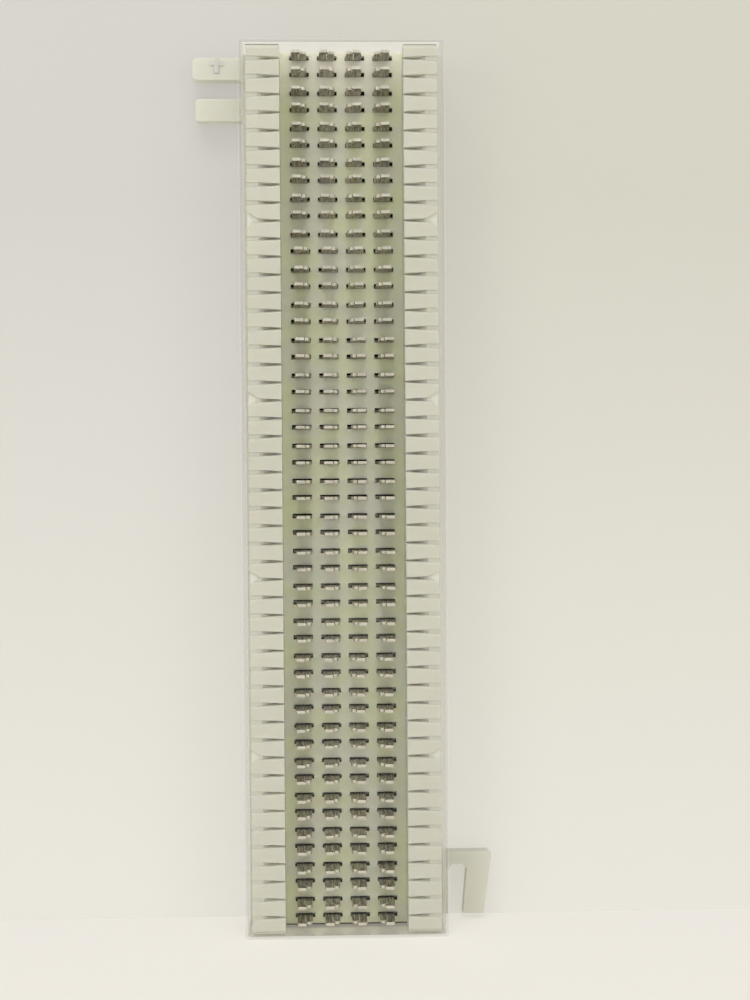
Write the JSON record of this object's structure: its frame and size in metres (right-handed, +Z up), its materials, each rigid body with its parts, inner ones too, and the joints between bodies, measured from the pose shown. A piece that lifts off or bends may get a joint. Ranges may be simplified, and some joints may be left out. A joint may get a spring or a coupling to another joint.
{
  "type": "punch down wiring block",
  "caption": "Upright punch down wiring block: rows of forked metal contacts between two toothed fanning strips, diagonal mounting ears and a clear lift-off cover.",
  "frame": {"origin": "middle of the footprint, on the surface that the block stands on", "axes": "+Z up along the rows, -Y out of the front that the wires are punched into, +X to the right seen from the front"},
  "size_m": [0.0862, 0.024, 0.255],
  "materials": {
    "body_plastic": "off-white moulded plastic with a low sheen",
    "clear_cover": "clear moulded plastic, thin walled and glossy",
    "contact_metal": "stamped spring metal with a dull tin plating"
  },
  "bodies": {
    "block": {"block_body": "body_plastic", "clip_retainer": "body_plastic", "clip_row_01": "contact_metal", "clip_row_02": "contact_metal", "clip_row_03": "contact_metal", "clip_row_04": "contact_metal", "clip_row_05": "contact_metal", "clip_row_06": "contact_metal", "clip_row_07": "contact_metal", "clip_row_08": "contact_metal", "clip_row_09": "contact_metal", "clip_row_10": "contact_metal", "clip_row_11": "contact_metal", "clip_row_12": "contact_metal", "clip_row_13": "contact_metal", "clip_row_14": "contact_metal", "clip_row_15": "contact_metal", "clip_row_16": "contact_metal", "clip_row_17": "contact_metal", "clip_row_18": "contact_metal", "clip_row_19": "contact_metal", "clip_row_20": "contact_metal", "clip_row_21": "contact_metal", "clip_row_22": "contact_metal", "clip_row_23": "contact_metal", "clip_row_24": "contact_metal", "clip_row_25": "contact_metal", "clip_row_26": "contact_metal", "clip_row_27": "contact_metal", "clip_row_28": "contact_metal", "clip_row_29": "contact_metal", "clip_row_30": "contact_metal", "clip_row_31": "contact_metal", "clip_row_32": "contact_metal", "clip_row_33": "contact_metal", "clip_row_34": "contact_metal", "clip_row_35": "contact_metal", "clip_row_36": "contact_metal", "clip_row_37": "contact_metal", "clip_row_38": "contact_metal", "clip_row_39": "contact_metal", "clip_row_40": "contact_metal", "clip_row_41": "contact_metal", "clip_row_42": "contact_metal", "clip_row_43": "contact_metal", "clip_row_44": "contact_metal", "clip_row_45": "contact_metal", "clip_row_46": "contact_metal", "clip_row_47": "contact_metal", "clip_row_48": "contact_metal", "clip_row_49": "contact_metal", "clip_row_50": "contact_metal"},
    "cover": {"cover": "clear_cover"}
  },
  "joints": [
    {"name": "cover_lift", "type": "slide", "parent": "block", "child": "cover", "axis": [0, -1, 0], "range_m": [0, 0.03]}
  ]
}
